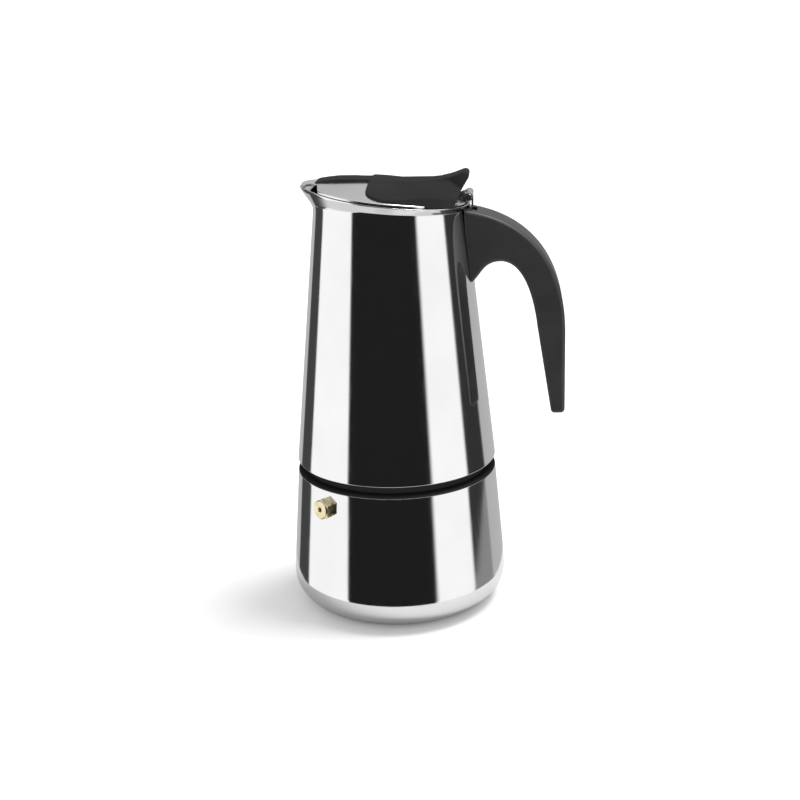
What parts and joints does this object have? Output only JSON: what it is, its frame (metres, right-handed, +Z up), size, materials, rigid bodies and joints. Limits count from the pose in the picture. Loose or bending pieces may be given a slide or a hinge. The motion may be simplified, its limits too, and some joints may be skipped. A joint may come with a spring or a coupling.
{
  "type": "moka pot",
  "caption": "Stove-top moka pot in polished steel: flared boiler, funnel and filter, screwed-on conical jug with black handle, and a hinged lid with black grip.",
  "frame": {"origin": "centre of the boiler's flat base, on the surface it stands on", "axes": "+Z up along the pot's axis, +X towards the handle, -X towards the pouring spout"},
  "size_m": [0.1276, 0.1, 0.2007],
  "materials": {
    "polished_steel": "polished stainless steel",
    "satin_steel": "satin stainless steel",
    "pressed_steel": "plain pressed stainless steel",
    "brass": "machined brass",
    "spring_steel": "drawn wire",
    "black_plastic": "satin black heat-resistant plastic",
    "silicone": "translucent white silicone"
  },
  "bodies": {
    "lower_chamber": {"boiler": "polished_steel", "boiler_collar": "pressed_steel", "valve_body": "brass", "valve_washer": "brass", "valve_nut": "brass", "valve_spring": "spring_steel", "valve_ring": "pressed_steel"},
    "relief_pin": {"valve_pin": "pressed_steel"},
    "funnel": {"funnel_basket": "pressed_steel", "funnel_stem": "pressed_steel", "funnel_strainer": "pressed_steel"},
    "seal": {"gasket": "silicone", "filter_plate": "pressed_steel"},
    "jug": {"jug_body": "polished_steel", "jug_floor": "pressed_steel", "threaded_ring": "pressed_steel", "column": "pressed_steel", "column_cap": "pressed_steel", "handle_bracket": "pressed_steel", "handle_grip": "black_plastic", "handle_screw": "spring_steel", "hinge_bracket": "pressed_steel", "hinge_pin": "spring_steel"},
    "lid": {"hinge_leaf": "pressed_steel", "lid_plate": "satin_steel", "lid_grip": "black_plastic", "lid_screws": "spring_steel", "lid_washers": "pressed_steel"}
  },
  "joints": [
    {"name": "jug_rise", "type": "slide", "parent": "lower_chamber", "child": "seal", "axis": [0, 0, 1], "range_m": [0, 0.009]},
    {"name": "jug_turn", "type": "hinge", "parent": "seal", "child": "jug", "pos_m": [0, 0, 0.075], "axis": [0, 0, 1], "range_deg": [0, 1081]},
    {"name": "funnel_lift", "type": "slide", "parent": "lower_chamber", "child": "funnel", "axis": [0, 0, 1], "range_m": [0, 0.0046]},
    {"name": "lid_hinge", "type": "hinge", "parent": "jug", "child": "lid", "pos_m": [0.0355, 0, 0.18996], "axis": [0, 1, 0], "range_deg": [0, 105]},
    {"name": "relief_travel", "type": "slide", "parent": "lower_chamber", "child": "relief_pin", "axis": [-0.6271, -0.7743, 0.0848], "range_m": [0, 0.0012], "stiffness_N_per_m": 800, "springref_m": -0.002, "deforming": ["valve_spring"]}
  ],
  "couplings": [
    {"joint": "jug_turn", "follows": "jug_rise", "rad_per_m": 2094.4},
    {"joint": "funnel_lift", "follows": "jug_rise", "ratio": 0.5}
  ]
}
